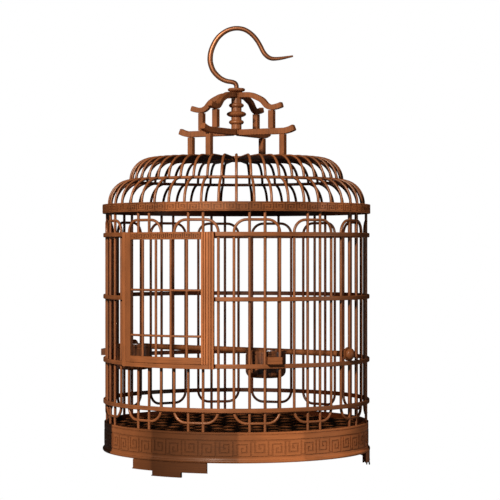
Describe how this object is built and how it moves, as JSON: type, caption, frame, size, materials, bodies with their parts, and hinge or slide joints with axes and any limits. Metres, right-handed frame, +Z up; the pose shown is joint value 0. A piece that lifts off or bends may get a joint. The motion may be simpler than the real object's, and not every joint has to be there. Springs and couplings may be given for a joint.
{
  "type": "bird cage",
  "caption": "Round hanging bird cage of thin wooden bars with a flat ribbed dome, a crown with a hook, a sliding door, two cups and a perch.",
  "frame": {"origin": "on the cage's axis, at the surface that its feet stand on", "axes": "+Z up along the cage's axis, -Y towards the front of the picture, where the door is to the left"},
  "size_m": [0.3369, 0.3357, 0.5445],
  "materials": {
    "varnished_wood": "satin reddish-brown varnish",
    "dark_wood": "dark stained",
    "dark_glaze": "dark glossy glaze",
    "bronzed_metal": "aged, bronzed"
  },
  "bodies": {
    "cage": {"base_ring": "varnished_wood", "foot_front_left": "varnished_wood", "foot_right": "varnished_wood", "foot_back": "varnished_wood", "floor_board": "dark_wood", "lower_hoop": "varnished_wood", "cup_hoop": "varnished_wood", "middle_hoop": "varnished_wood", "upper_hoop": "varnished_wood", "eaves_band": "varnished_wood", "dome_lower_ribs": "varnished_wood", "dome_upper_ribs": "varnished_wood", "crown_post_lower_1": "varnished_wood", "crown_post_lower_2": "varnished_wood", "crown_post_lower_3": "varnished_wood", "crown_post_lower_4": "varnished_wood", "crown_beam_1": "varnished_wood", "crown_beam_2": "varnished_wood", "crown_beam_3": "varnished_wood", "crown_beam_4": "varnished_wood", "crown_post_upper_1": "varnished_wood", "crown_post_upper_2": "varnished_wood", "crown_post_upper_3": "varnished_wood", "crown_post_upper_4": "varnished_wood", "crown_arm_1": "varnished_wood", "crown_arm_2": "varnished_wood", "crown_arm_3": "varnished_wood", "crown_arm_4": "varnished_wood", "finial": "varnished_wood", "perch_rod": "varnished_wood", "perch_end_knob": "varnished_wood", "door_post_left": "varnished_wood", "door_post_right": "varnished_wood", "door_sill": "varnished_wood", "grille_panel_01": "varnished_wood", "grille_panel_02": "varnished_wood", "grille_panel_03": "varnished_wood", "grille_panel_04": "varnished_wood", "grille_panel_05": "varnished_wood", "grille_panel_06": "varnished_wood", "grille_panel_07": "varnished_wood", "grille_panel_08": "varnished_wood", "grille_panel_09": "varnished_wood", "grille_panel_10": "varnished_wood", "grille_panel_11": "varnished_wood", "grille_panel_12": "varnished_wood", "grille_panel_13": "varnished_wood", "grille_panel_14": "varnished_wood"},
    "door": {"door_stile_left": "varnished_wood", "door_stile_right": "varnished_wood", "door_top_rail": "varnished_wood", "door_bottom_rail": "varnished_wood", "door_grille": "varnished_wood"},
    "feed_cup": {"feed_cup": "dark_glaze", "feed_cup_clip": "varnished_wood"},
    "water_cup": {"water_cup": "dark_glaze", "water_cup_clip": "varnished_wood"},
    "hook": {"hook": "bronzed_metal"}
  },
  "joints": [
    {"name": "door_lift", "type": "slide", "parent": "cage", "child": "door", "axis": [0, 0, 1], "range_m": [0, 0.11]},
    {"name": "feed_cup_lift", "type": "slide", "parent": "cage", "child": "feed_cup", "axis": [0, 0, 1], "range_m": [0, 0.06]},
    {"name": "water_cup_lift", "type": "slide", "parent": "cage", "child": "water_cup", "axis": [0, 0, 1], "range_m": [0, 0.06]},
    {"name": "hook_swivel", "type": "hinge", "parent": "cage", "child": "hook", "pos_m": [0, 0, 0.4587], "axis": [0, 0, 1], "continuous": true}
  ]
}
